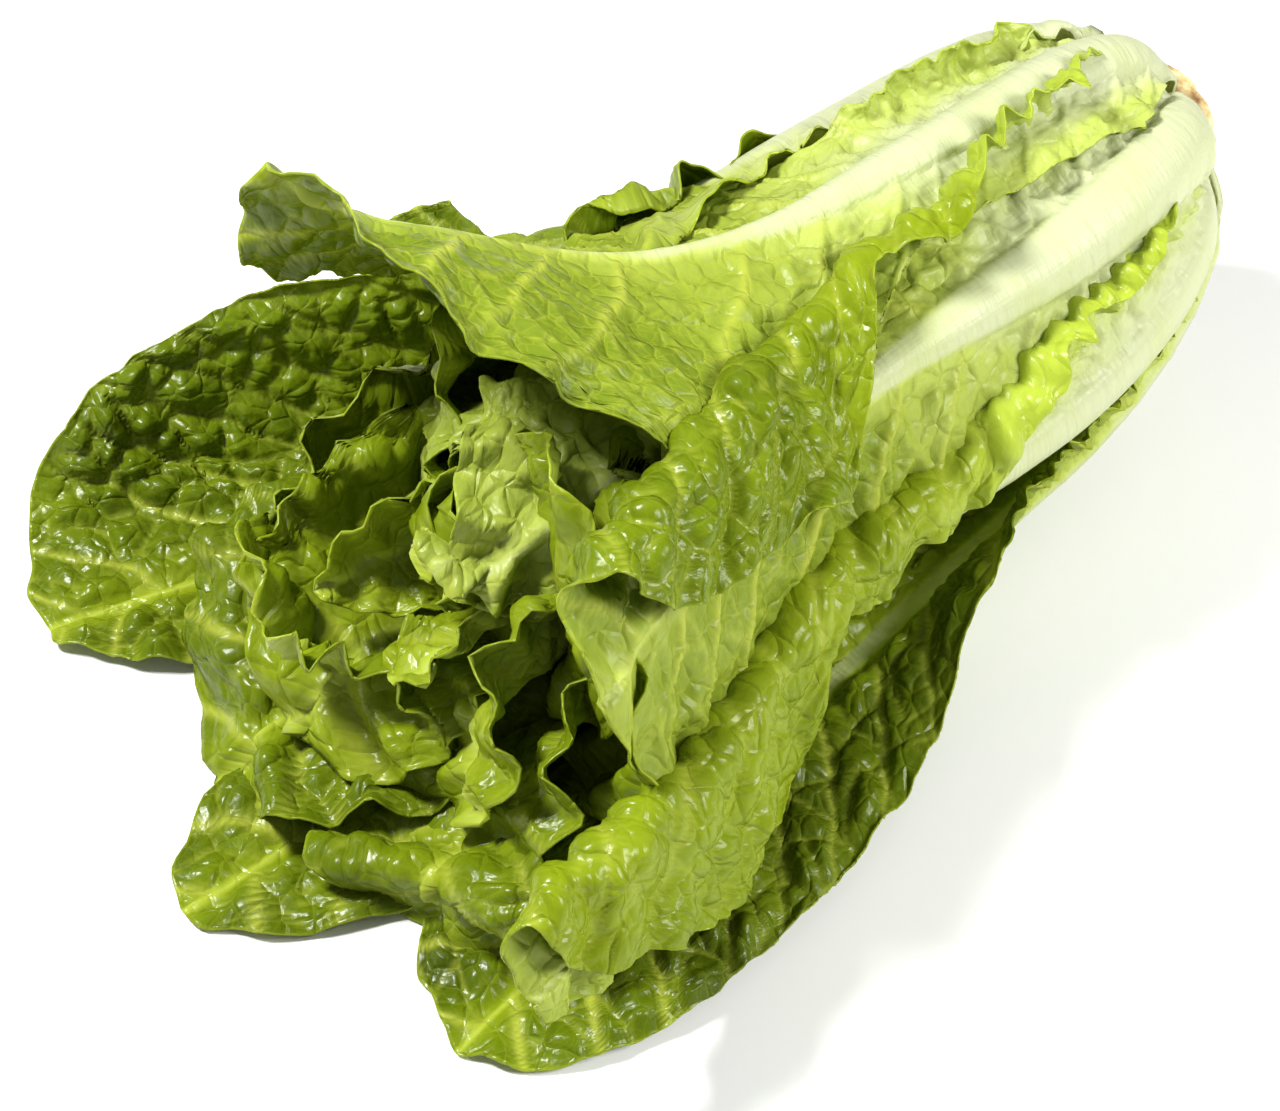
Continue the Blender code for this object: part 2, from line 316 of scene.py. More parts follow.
# %% The outer and wrapper leaves
LEAVES = {
    "outer_leaf_far": dict(
        whorl="outer", angle=-124, length=301, halves=(34, 77), sway=2, height=3.2, flat=0.89,
        sink=0.45, lift=58, rib=7, pale=0.30, dark=0.80, blister=6.2, cell=1.05, frill=1.4,
        wave=26, grid=(140, 290)),
    "outer_leaf_near": dict(
        whorl="outer", angle=134, length=296, halves=(40, 50), sway=0, height=5.4, flat=1.0,
        sink=0.3, rib=7, pale=0.24, dark=0.90, blister=5.4, cell=1.15, frill=1.6, wave=24,
        grid=(110, 265)),
    "outer_leaf_under": dict(
        whorl="outer", angle=-179, length=316, halves=(41, 38), sway=0, height=5.2, flat=0.9,
        sink=0.75, rib=7, pale=0.30, dark=0.85, blister=4.8, cell=1.0, frill=1.8, wave=22,
        grid=(70, 210)),
    "leaf_upper_far": dict(
        whorl="wrapper", angle=-57, length=236, halves=(56, 50), sway=-4, sink=0.30, rib=12,
        pale=0.55, dark=0.66, blister=2.6, cell=1.0, frill=3.0, wave=17, narrow=(0.1, 0.42),
        grid=(90, 210), bends=(dict(start=0.60, radius=45, degrees=-50, wave=4),)),
    "leaf_top": dict(
        whorl="wrapper", angle=-4, length=251, halves=(58, 72), sway=-25, sink=0.25, rib=7.5,
        pale=0.54, dark=0.86, blister=3.4, cell=0.9, frill=2.8, wave=24, crimp=0.3,
        narrow=(0.36, 0.40), neck=(0.42, 0.3), full=(0.66, 0.72), grid=(130, 280),
        rolls=(dict(side=-1, start=15, radius=4, degrees=140, span=(0.03, 0.1), until=(0.30, 0.40)),
               dict(side=-1, start=42, radius=6, degrees=115, span=(0.60, 0.76))),
        bends=(dict(start=0.93, radius=10, degrees=25, skew=-0.1),)),
    "leaf_upper_near": dict(
        whorl="wrapper", angle=46, length=243, halves=(68, 54), sway=14, sink=0.25, rib=9.5,
        pale=0.50, dark=0.76, blister=4.4, cell=1.0, frill=3.0, wave=18, narrow=(0.50, 0.16),
        full=(0.67, 0.72), neck=(0.52, 0.3), taper=(0.5, 0), rounding=(0.12, 0.3),
        grid=(130, 270),
        rolls=(dict(side=-1, start=(22, 16), radius=6, degrees=200, span=(0.02, 0.10)),)),
    "leaf_near": dict(
        whorl="wrapper", angle=106, length=288, halves=(70, 46), sway=-30, sink=0.45, rib=8.5,
        sways_from=0.62, pale=0.42, dark=0.58, blister=4.4, cell=1.2, frill=2.6, wave=24,
        narrow=(0.58, 0.2), full=(0.69, 0.72), neck=(0.54, 0.3), taper=(0.45, 0.6),
        rounding=(0.14, 0.3), grid=(130, 280),
        rolls=(dict(side=-1, start=(27, 15), radius=4.6, degrees=182, span=(0.02, 0.10)),)),
    "leaf_lower_near": dict(
        whorl="wrapper", angle=150, length=284, halves=(58, 60), sway=0, sink=0.60, rib=8,
        pale=0.33, dark=0.80, blister=4.8, cell=1.05, frill=5.0, wave=27, grid=(104, 228),
        bends=(dict(start=0.93, radius=9, degrees=100, skew=0.3, wave=5),)),
    "leaf_lower_far": dict(
        whorl="wrapper", angle=-158, length=286, halves=(58, 52), sway=0, sink=0.55, rib=8,
        pale=0.33, dark=0.80, blister=4.8, cell=1.05, frill=5.0, wave=25, grid=(104, 228),
        bends=(dict(start=0.92, radius=10, degrees=60, skew=-0.3, wave=6),)),
    "leaf_far": dict(
        whorl="wrapper", angle=-108, length=222, halves=(56, 56), sway=0, sink=0.45, rib=9,
        pale=0.42, dark=0.88, blister=3.2, cell=1.1, frill=5.5, wave=21, grid=(100, 220),
        bends=(dict(start=0.72, radius=13, degrees=-80, wave=5),)),
}
print(len(LEAVES), "outer and wrapper leaves")

# %% [markdown]
# ## The leaves of the crown
# Inner, heart and core leaves fill the crown. They are alike, so each whorl has its shared
# looks in one place and each leaf adds only what is its own: where it stands, how long it is,
# and, for inner and heart leaves, how its tip nods. One wing of each inner and heart leaf curls
# outwards at its edge, to the left and right in turn, because a crown in which all leaves curl
# the same way looks made by a machine.

# %% The crown leaves
INNER = (
    dict(angle=-31, length=238, halves=(60, 58), sway=2, sink=0.20, dark=0.46),
    dict(angle=28, length=222, halves=(49, 50), sway=6, sink=0.20, dark=0.46),
    dict(angle=89, length=230, halves=(49, 50), sway=6, sink=0.25, dark=0.66),
    dict(angle=149, length=256, halves=(49, 50), sway=0, sink=0.30, dark=0.66),
    dict(angle=-151, length=258, halves=(49, 50), sway=0, sink=0.30, dark=0.66),
    dict(angle=-91, length=238, halves=(49, 50), sway=0, sink=0.25, dark=0.66),
)
INNER_EDGE_TURNS = (50, 130, 130, 130, 130, 130)
INNER_BENDS = (
    (dict(start=0.60, radius=28, degrees=-74, skew=0.3, wave=4),
     dict(start=0.94, radius=5, degrees=100)),
    (dict(start=0.80, radius=14, degrees=-40, skew=-0.2, wave=6),),
    (dict(start=0.80, radius=12, degrees=40, skew=0.3, wave=6),),
    (dict(start=0.86, radius=14, degrees=50, skew=0.2, wave=6),),
    (dict(start=0.84, radius=12, degrees=-50, skew=-0.2, wave=7),),
    (dict(start=0.72, radius=14, degrees=-70, skew=0.15, wave=7),),
)
HEART = (
    dict(angle=-10, length=206, sway=-4),
    dict(angle=62, length=208, sway=4),
    dict(angle=134, length=230, sway=0),
    dict(angle=-154, length=238, sway=0),
    dict(angle=-82, length=218, sway=0),
)
HEART_BENDS = (
    dict(start=0.78, radius=9, degrees=-80, skew=0.2, wave=5),
    dict(start=0.84, radius=7, degrees=80, skew=0.2, wave=5),
    dict(start=0.86, radius=9, degrees=60, skew=-0.2, wave=5),
    dict(start=0.88, radius=8, degrees=50, skew=0.3, wave=5),
    dict(start=0.74, radius=12, degrees=-60, skew=0.2, wave=5),
)
CORE = (dict(angle=20, length=190), dict(angle=140, length=204), dict(angle=-100, length=202))
EDGE_ROLL_SPAN = (0.45, 0.7)


def edge_roll(number, start, radius, degrees):
    """A roll along the edge of one wing: the left one for odd leaves, the right one for even."""
    return dict(side=(-1) ** number, start=start, radius=radius, degrees=degrees,
                span=EDGE_ROLL_SPAN, edge=True)


for number, own in enumerate(INNER, 1):
    LEAVES[f"inner_leaf_{number}"] = dict(
        own, whorl="inner", rib=7, pale=0.40, blister=4.4, cell=1.0, frill=6.0, wave=20,
        bends=INNER_BENDS[number - 1], grid=(92, 205),
        rolls=(edge_roll(number, 13, 4, INNER_EDGE_TURNS[number - 1]),))
for number, own in enumerate(HEART, 1):
    LEAVES[f"heart_leaf_{number}"] = dict(
        own, whorl="heart", halves=(42, 43), sink=0, rib=5, pale=0.45, dark=0.60, blister=3.8,
        cell=0.9, frill=5.0, wave=16, bends=(HEART_BENDS[number - 1],), grid=(76, 190),
        rolls=(edge_roll(number, 11, 3.5, 150),))
for number, own in enumerate(CORE, 1):
    LEAVES[f"core_leaf_{number}"] = dict(
        own, whorl="core", halves=(26, 27), sway=0, sink=0, rib=3, pale=0.55, dark=0.55,
        blister=1.6, cell=0.7, frill=3.2, wave=13, grid=(40, 120))
for seed, leaf in enumerate(LEAVES.values(), 3):
    leaf["seed"] = 17 * seed
print(len(LEAVES), "leaves in all")

# %% [markdown]
# ## A leaf's outline
# A cos leaf clasps the stem with a narrow foot, keeps narrow frilled wings beside its rib, and
# opens into a rounded blade. Its edge is never a clean line, so small scallops and, near the
# foot, a few sharp teeth are added to the width.

# %% The outline
TIP_ROUNDING = 0.30
CLASP_WIDTH = 0.10
NECK_WIDTH = 0.30
NECK_SPAN = (0.01, 0.15)
BLADE_START = 0.10
BLADE_FULL = 0.72
LATE_START_DELAY = 0.3
TAPER_SPAN = (0.66, 1)
SCALLOP, SCALLOP_LENGTH = 0.022, 15 * MM
FINE_SCALLOP, FINE_SCALLOP_LENGTH = 0.014, 4.5 * MM
TOOTH, TOOTH_LENGTH = 0.35, 6 * MM


def half_width(leaf, share, across):
    """Width of the wing on the side of across: a narrow neck that opens into the blade."""
    first = across < 0

    def per_side(name, usual):
        return np.where(first, *leaf.get(name, (usual, usual)))

    start = per_side("narrow", BLADE_START)
    neck_width = per_side("neck", NECK_WIDTH)
    if "full" in leaf:
        full_at = per_side("full", BLADE_FULL)
    else:
        full_at = BLADE_FULL + LATE_START_DELAY * (start - BLADE_START)
    neck = CLASP_WIDTH + (neck_width - CLASP_WIDTH) * smooth(share, *NECK_SPAN)
    tapered = 1 - per_side("taper", 0) * smooth(share, *TAPER_SPAN)
    opened = smooth(share, start, full_at) * tapered
    return per_side("halves", 0) * MM * (neck + (1 - neck) * opened)


def over_leaf(leaf, across, along):
    """Distances over the leaf for grid places: sideways, along, and inwards from the edge."""
    length = leaf["length"] * MM
    side = np.sign(across) * 40.0
    rounding = np.where(across < 0, *leaf.get("rounding", (TIP_ROUNDING, TIP_ROUNDING)))
    end = 1 - rounding * (1 - np.sqrt(np.clip(1 - across**2, 0.0016, 1)))
    rough = (along - (1 - end) * along**2.5) * length
    scallop = SCALLOP * noise(rough / SCALLOP_LENGTH, side, leaf["seed"])
    fine = noise(rough / FINE_SCALLOP_LENGTH, side, leaf["seed"] + 1)
    scallop = scallop + FINE_SCALLOP * fine
    tooth = np.maximum(noise(rough / TOOTH_LENGTH, side, leaf["seed"] + 2) - 0.4, 0)
    scallop = scallop + TOOTH * tooth * (1 - smooth(along, 0.2, 0.5)) * smooth(along, 0.03, 0.08)
    tip = 1 + 0.008 * noise(across * 7, across * 0, leaf["seed"] + 3) * smooth(along, 0.7, 1)
    distance = rough * tip
    half = half_width(leaf, distance / length, across)
    sideways = across * half * (1 + scallop * np.abs(across) ** 2)
    inwards = np.minimum((1 - np.abs(across)) * half, (1 - along) * length * 0.6)
    return sideways, distance, inwards


# %% [markdown]
# ## Veins, blisters and frills
# Side veins leave the rib in turn to the left and right and curve towards the tip. Between
# them the blade grows faster than its veins, so it bulges into blisters on its inner face.
# The edge grows faster still, and that is what frills it. Beside the foot the wings are
# crimped and the whole pattern is crowded. These are heights over the smooth sheet, worked out
# from the two distances. A displace modifier could raise them too, but worked out here they
# also tell the finish where the veins are.

# %% Relief of a leaf
VEIN_SPACING = 22 * MM
VEIN_SLOPE = 0.62
VEIN_CURVE = 5.5
CRIMP = 10 * MM
CRIMP_HEIGHT = 1.7 * MM
CROWDING = 0.7
CROWDED_SPAN = (0.12, 0.5)
PILLOW_WIDTH = 2.4 * MM
STRAY_LENGTH = 15 * MM
SWELL_LENGTH = 22 * MM
BIG_CELL = (12, 10.5)
MIDDLING_CELL = (6.2, 5.4)
SMALL_CELL = (3.4 * MM, 3.2 * MM)
PILLOW_SHARE = 0.30
BIG_SHARE = 0.60
MIDDLING_SHARE = 0.26
SMALL_SHARE = 0.06
FLATTER_RIM = {"outer": 0.7, "wrapper": 0.35, "inner": 0.35, "heart": 0.35, "core": 0.35}


def dome(border):
    """The height of a blister from the distance to its border: steep sides and a round top."""
    return np.sin(np.clip(border / 0.85, 0, 1) * math.pi / 2) ** 0.75


def crowded(leaf, sideways, distance):
    """The two distances as the pattern sees them: near the foot everything is smaller."""
    length = leaf["length"] * MM
    share = distance / length
    start, end = CROWDED_SPAN
    t = np.clip((share - start) / (end - start), 0, 1)
    extra = np.minimum(share, end) - (end - start) * (t**3 - t**4 / 2)
    closer = 1 + CROWDING * (1 - smooth(share, start, end))
    return sideways * closer, distance + CROWDING * extra * length


def vein_distance(leaf, sideways, distance):
    """Distance to the nearest side vein."""
    away = np.abs(sideways)
    side = np.where(sideways < 0, 11.0, 23.0)
    start = (distance - VEIN_SLOPE * away - VEIN_CURVE * away**2) / VEIN_SPACING
    start = start + 0.30 * noise(start / 1.7, side, leaf["seed"] + 11) + side / 24
    start = start + 0.10 * noise(sideways / (9 * MM), distance / (9 * MM), leaf["seed"] + 12)
    within = start - np.floor(start)
    return np.minimum(within, 1 - within) * VEIN_SPACING * 0.8


def relief(leaf, sideways, distance, inwards):
    """Height towards the heart, the distance to a vein and the height's share in blisters."""
    share = distance / (leaf["length"] * MM)
    away = np.abs(sideways)
    seed = leaf["seed"]
    u, v = crowded(leaf, sideways, distance)
    to_vein = vein_distance(leaf, u, v)
    pillow = 1 - np.exp(-to_vein / PILLOW_WIDTH)
    cell = leaf["cell"] * MM
    stray = 0.35 * noise(u / STRAY_LENGTH, v / STRAY_LENGTH, seed + 21)
    wide, long = BIG_CELL
    big = dome(cell_border(u / (wide * cell) - stray, v / (long * cell) + stray, seed + 22))
    wide, long = MIDDLING_CELL
    middling = cell_border(u / (wide * cell) + stray, v / (long * cell) - stray, seed + 25)
    middling = dome(middling)
    small = dome(cell_border(u / SMALL_CELL[0], v / SMALL_CELL[1], seed + 24))
    swell = noise(sideways / SWELL_LENGTH, distance / SWELL_LENGTH, seed + 23)
    swell = 0.80 + 0.35 * swell
    rib = leaf["rib"] * MM
    beside_rib = smooth(away, 0.75 * rib * (1 - 0.8 * share), rib * (1 - 0.8 * share) + 4 * MM)
    blade = smooth(share, 0.30, 0.5)
    band = 1 - FLATTER_RIM[leaf["whorl"]] * blade * (1 - smooth(inwards, 0.5 * MM, 7 * MM))
    grown = 0.75 + 0.25 * blade
    bulge = PILLOW_SHARE * pillow + BIG_SHARE * big * (0.4 + 0.6 * pillow)
    lesser = MIDDLING_SHARE * middling * (0.3 + 0.7 * big) * (0.6 + 0.4 * pillow)
    bulge = bulge + lesser + SMALL_SHARE * small
    bulge = bulge * leaf["blister"] * MM * swell * beside_rib * band * grown
    crimp = np.sin(2 * math.pi * (v + 0.4 * u * np.sign(sideways)) / CRIMP + 2.5 * stray)
    crimp = (0.5 + 0.5 * crimp) ** 0.8 * smooth(away - rib, 2 * MM, 9 * MM) * (1 - blade)
    bulge = bulge + leaf.get("crimp", 1) * CRIMP_HEIGHT * crimp * smooth(share, 0.03, 0.12)
    return bulge, to_vein, np.minimum(big, 0.5 + 0.5 * middling)


def frill(leaf, across, along, sideways, distance):
    """Waves of the edge, tight beside the foot, stronger towards the crown and round the tip."""
    share = distance / (leaf["length"] * MM)
    seed = leaf["seed"]
    side = np.sign(sideways) * 3.0
    _, v = crowded(leaf, sideways, distance)
    tip = smooth(along, 0.7, 0.95)
    phase = 2 * math.pi * (v - (0.3 + 0.3 * tip) * np.abs(sideways)) / (leaf["wave"] * MM) + side
    phase = phase + 2.2 * noise(distance / (38 * MM), side, seed + 41)
    height = leaf["frill"] * MM * (0.5 + 0.5 * smooth(share, 0.3, 0.8))
    edge = np.maximum(np.abs(across) ** 1.8 * (1 - 0.4 * tip), 0.6 * smooth(along, 0.80, 1.02))
    small = np.sin(2.6 * phase + 1.3 + 1.5 * noise(distance / (17 * MM), side, seed + 42))
    slow = noise(sideways / (38 * MM), distance / (48 * MM), seed + 43) * smooth(share, 0.3, 0.7)
    return height * (np.sin(phase) * edge + 0.22 * small * edge**1.7 + 0.65 * slow)


# %% [markdown]
# ## Rib and thickness
# The blade is about half a millimetre thick. The rib is a broad strap on the outer face, up to five
# millimetres thick at the foot, and it dies away before the tip. Side veins stand out from
# the outer face as thin cords. Solidify reads the thickness from a vertex group.

# %% Thickness of a leaf
BLADE = 0.48 * MM
CORD_HEIGHT = 0.75 * MM
CORD_WIDTH = 0.9 * MM
RIB_THICK = {"outer": 3.4 * MM, "wrapper": 4.8 * MM, "inner": 3.4 * MM, "heart": 2.6 * MM,
             "core": 1.7 * MM}


def rib_half(leaf, share):
    """Half width of the rib: widest near the foot, a thin line at the tip."""
    return leaf["rib"] * MM * (0.09 + 0.91 * (1 - smooth(share, 0.12, 0.92)) ** 1.15)


def thickness(leaf, sideways, distance, to_vein):
    share = distance / (leaf["length"] * MM)
    half = rib_half(leaf, share)
    strap = np.clip(1 - (sideways / half) ** 2, 0, 1) ** 0.75
    foot = 0.55 + 0.45 * smooth(share, 0, 0.08)
    rise = (RIB_THICK[leaf["whorl"]] - BLADE) * foot * (1 - smooth(share, 0.2, 0.98)) ** 0.8
    cord = CORD_HEIGHT * np.exp(-((to_vein / CORD_WIDTH) ** 2))
    cord = cord * np.exp(-np.abs(sideways) / (26 * MM)) * (1 - smooth(share, 0.75, 1))
    return BLADE + rise * strap + cord * (1 - strap)


# %% [markdown]
# ## Growing one leaf
# A grid is added with the operator, and its flat places become distances over the leaf. The
# leaf's surface turns them into points, the heights are added along the surface's own normal,
# and Solidify gives the sheet its thickness. The columns of the grid are crowded towards the
# two edges, where the frills need more points than the flat middle does. The two faces get
# different finishes, because the outer face of a cos leaf is paler and duller than the inner.

# %% A leaf's surface and what it stores
YOUNG_GREEN = 0.12
YOUNG_EDGE_GREEN = 0.16
BRANCH_SHOWS = 0.42


def surface_of(leaf):
    def surface(sideways, distance):
        return vase_point(leaf, sideways, distance)

    for bend in leaf.get("bends", ()):
        surface = bent(surface, leaf, **bend)
    for roll in leaf.get("rolls", ()):
        surface = rolled(surface, leaf, **roll)
    return surface


def store(mesh, name, values):
    """Keeps one number for each point of a mesh, for the materials to read."""
    mesh.attributes.new(name, "FLOAT", "POINT").data.foreach_set("value", values.ravel())


def paint(mesh, leaf, sideways, distance, inwards, to_vein, blister):
    """Stores how green a leaf is, where its veins are and the leaf's own flat coordinates."""
    share = distance / (leaf["length"] * MM)
    away = np.abs(sideways)
    half = rib_half(leaf, share)
    patch = noise(sideways / (18 * MM), distance / (24 * MM), leaf["seed"] + 61)
    grown = smooth(share + 0.05 * patch, leaf["pale"] - 0.32, leaf["pale"] + 0.22)
    aside = smooth(away - half, -2 * MM, 10 * MM)
    edge = (1 - smooth(inwards, 3 * MM, 13 * MM)) * smooth(share, 0.04, 0.15)
    wing = smooth(away, 14 * MM, 38 * MM) * smooth(share, 0.26, 0.44)
    young = (YOUNG_GREEN + YOUNG_EDGE_GREEN * edge) * aside
    green = leaf["dark"] * np.maximum(grown * (0.62 + 0.38 * aside), 0.85 * wing)
    green = np.maximum(green, young) * (1 + 0.10 * patch)
    on_rib = 1 - smooth(away / half, 0.62, 1.12)
    green = green * (1 - on_rib * (0.85 - 0.35 * smooth(share, 0.5, 0.95)))
    store(mesh, "green", np.clip(green, 0, 1))
    width = (1.15 - 0.6 * smooth(away, 4 * MM, 50 * MM)) * MM
    cord = np.exp(-((to_vein / width) ** 2)) * (1 - 0.5 * smooth(away, 10 * MM, 60 * MM))
    midrib = np.exp(-((away / (half * 0.5 + 0.5 * MM)) ** 4)) * smooth(share, 0.45, 0.7)
    branch = (1 - smooth(blister, 0.04, 0.30)) * BRANCH_SHOWS
    store(mesh, "vein", np.clip(np.maximum(np.maximum(cord, branch), midrib), 0, 1))
    store(mesh, "inwards", np.clip(inwards / (5 * MM), 0, 1))
    flat = np.stack([sideways, distance, np.full_like(sideways, leaf["seed"] * 0.01)], axis=-1)
    mesh.attributes.new("flat", "FLOAT_VECTOR", "POINT").data.foreach_set("vector", flat.ravel())


# %% Growing a leaf
EDGE_CROWDING = math.radians(87)
TABLE_GAP = 2e-4
TABLE_SOFTNESS = 6e-4


def grow(node, leaf, finishes):
    columns, rows = leaf["grid"]
    bpy.ops.object.select_all(action="DESELECT")
    bpy.ops.mesh.primitive_grid_add(x_subdivisions=columns, y_subdivisions=rows, size=2)
    obj = bpy.context.object
    obj.name = obj.data.name = f"{node}_blade"
    mesh = obj.data
    flat = np.empty(len(mesh.vertices) * 3)
    mesh.vertices.foreach_get("co", flat)
    flat = flat.reshape(rows + 1, columns + 1, 3)
    across = np.sin(EDGE_CROWDING * flat[..., 0]) / math.sin(EDGE_CROWDING)
    along = ((flat[..., 1] + 1) / 2) ** 1.04

    sideways, distance, inwards = over_leaf(leaf, across, along)
    surface = surface_of(leaf)
    points = surface(sideways, distance)
    crosswise = surface(sideways + STEP, distance) - points
    onwards = surface(sideways, distance + STEP) - points
    bulge, to_vein, blister = relief(leaf, sideways, distance, inwards)
    height = bulge + frill(leaf, across, along, sideways, distance)
    towards_heart = unit(np.cross(crosswise, onwards))
    points = points + towards_heart * height[..., None] + HEAD
    over_table = (points[..., 2] - BLADE - TABLE_GAP) / TABLE_SOFTNESS
    points[..., 2] = BLADE + TABLE_GAP + TABLE_SOFTNESS * np.logaddexp(0, over_table)
    mesh.vertices.foreach_set("co", points.ravel())

    thick = thickness(leaf, sideways, distance, to_vein)
    most = float(thick.max())
    group = obj.vertex_groups.new(name="thickness")
    for index, value in enumerate((thick / most).ravel()):
        group.add([index], float(value), "REPLACE")
    paint(mesh, leaf, sideways, distance, inwards, to_vein, blister)
    for finish in finishes:
        mesh.materials.append(finish)
    solid = obj.modifiers.new("blade and rib", "SOLIDIFY")
    solid.thickness = most
    solid.offset = -1
    solid.vertex_group = "thickness"
    solid.material_offset = 1
    bpy.ops.object.modifier_apply(modifier=solid.name)
    finish_mesh(obj)
    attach(obj, "root")
    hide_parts(node)
    return obj


def finish_mesh(obj):
    """Keeps a piece off the table and shades it smooth."""
    count = len(obj.data.vertices)
    points = np.empty(count * 3)
    obj.data.vertices.foreach_get("co", points)
    points = points.reshape(-1, 3)
    points[:, 2] = np.maximum(points[:, 2], 1e-4)
    obj.data.vertices.foreach_set("co", points.ravel())
    obj.data.update()
    obj.data.shade_smooth()


# %% [markdown]
# ## The leaf finish
# A living leaf is wax over wet cells: the colour comes from below, highlights sit on top, and
# light from behind glows through yellow-green. Base colour climbs a ramp from the cream rib to
# dark green, and pale veins are mixed over it. A fine net of veins comes from Voronoi cells in
# the leaf's own flat coordinates, so that it follows every curl. Crumples about six
# millimetres across are bump in the same coordinates, since they would need a mesh several
# times as fine.

# %% Node helpers
def shader_node(tree, kind, **inputs):
    made = tree.nodes.new(kind)
    for name, value in inputs.items():
        made.inputs[name].default_value = value
    return made


def link(tree, output, target):
    tree.links.new(output, target)


def mixed(tree, blend, factor, first, second):
    """A colour mix; each argument is a socket, a number or a colour."""
    mix = tree.nodes.new("ShaderNodeMix")
    mix.data_type = "RGBA"
    mix.blend_type = blend
    for socket, value in ((mix.inputs[0], factor), (mix.inputs[6], first), (mix.inputs[7], second)):
        if isinstance(value, bpy.types.NodeSocket):
            link(tree, value, socket)
        else:
            socket.default_value = value
    return mix.outputs[2]


def sums(tree, operation, first, second):
    made = tree.nodes.new("ShaderNodeMath")
    made.operation = operation
    for socket, value in ((made.inputs[0], first), (made.inputs[1], second)):
        if isinstance(value, bpy.types.NodeSocket):
            link(tree, value, socket)
        else:
            socket.default_value = value
    return made.outputs[0]


def ramp(tree, value, stops):
    made = tree.nodes.new("ShaderNodeValToRGB")
    elements = made.color_ramp.elements
    while len(elements) < len(stops):
        elements.new(0.5)
    for element, (position, colour) in zip(elements, stops):
        element.position = position
        element.color = colour
    link(tree, value, made.inputs["Fac"])
    return made.outputs["Color"]


def attribute(tree, name):
    made = tree.nodes.new("ShaderNodeAttribute")
    made.attribute_name = name
    return made


# %% Colours, fibres and patterns of a leaf
INNER_GREENS = ((0.0, (0.62, 0.65, 0.42, 1)), (0.22, (0.50, 0.60, 0.075, 1)),
                (0.50, (0.29, 0.37, 0.012, 1)), (0.75, (0.172, 0.24, 0.005, 1)),
                (1.0, (0.080, 0.120, 0.003, 1)))
OUTER_GREENS = ((0.0, (0.62, 0.65, 0.42, 1)), (0.25, (0.53, 0.61, 0.15, 1)),
                (0.50, (0.38, 0.46, 0.070, 1)), (0.75, (0.26, 0.34, 0.030, 1)),
                (1.0, (0.15, 0.22, 0.008, 1)))
VEIN_COLOUR = (0.54, 0.59, 0.085, 1)
NET_COLOUR = (0.40, 0.47, 0.035, 1)
# Colour of the margin line: painted glow of light passing through the thin edge.
EDGE_GLOW_COLOUR = (0.45, 0.53, 0.04, 1)


def striae(tree, flat, off_rib):
    """Long fibres and faint cross wrinkles of the rib, as a height."""
    total = 0.0
    for stretch, strength in (((1500.0, 90.0, 1.0), 0.8), ((70.0, 420.0, 1.0), 4.0)):
        stretched = tree.nodes.new("ShaderNodeVectorMath")
        stretched.operation = "MULTIPLY"
        stretched.inputs[1].default_value = stretch
        link(tree, flat.outputs["Vector"], stretched.inputs[0])
        fibres = shader_node(tree, "ShaderNodeTexNoise", Scale=1.0, Detail=3.0)
        link(tree, stretched.outputs["Vector"], fibres.inputs["Vector"])
        total = sums(tree, "ADD", sums(tree, "MULTIPLY", fibres.outputs["Fac"], strength), total)
    return sums(tree, "MULTIPLY", total, sums(tree, "SUBTRACT", 1.0, off_rib))


def speckle(tree, place, scale, **details):
    """Noise over a leaf, with spots about 1 / scale metres across."""
    made = shader_node(tree, "ShaderNodeTexNoise", Scale=scale, **details)
    link(tree, place, made.inputs["Vector"])
    return made


def wandering(tree, place, scale, most):
    """The leaf's flat coordinates pushed about by up to most metres, so no line is straight."""
    made = tree.nodes.new("ShaderNodeVectorMath")
    made.operation = "MULTIPLY_ADD"
    made.inputs[1].default_value = (most, most, 0)
    link(tree, speckle(tree, place, scale, Detail=2.0).outputs["Color"], made.inputs[0])
    link(tree, place, made.inputs[2])
    return made.outputs["Vector"]


def cell_edges(tree, place, scale):
    """Distance to the border of cells about 1 / scale metres across."""
    made = shader_node(tree, "ShaderNodeTexVoronoi", Scale=scale)
    made.feature = "DISTANCE_TO_EDGE"
    link(tree, place, made.inputs["Vector"])
    return made.outputs["Distance"]


# %% One face of the leaves
NET_SCALE = 340.0
CRUMPLE_SCALE = 155.0
NO, SOME, ALL = (0, 0, 0, 1), (0.6, 0.6, 0.6, 1), (1, 1, 1, 1)


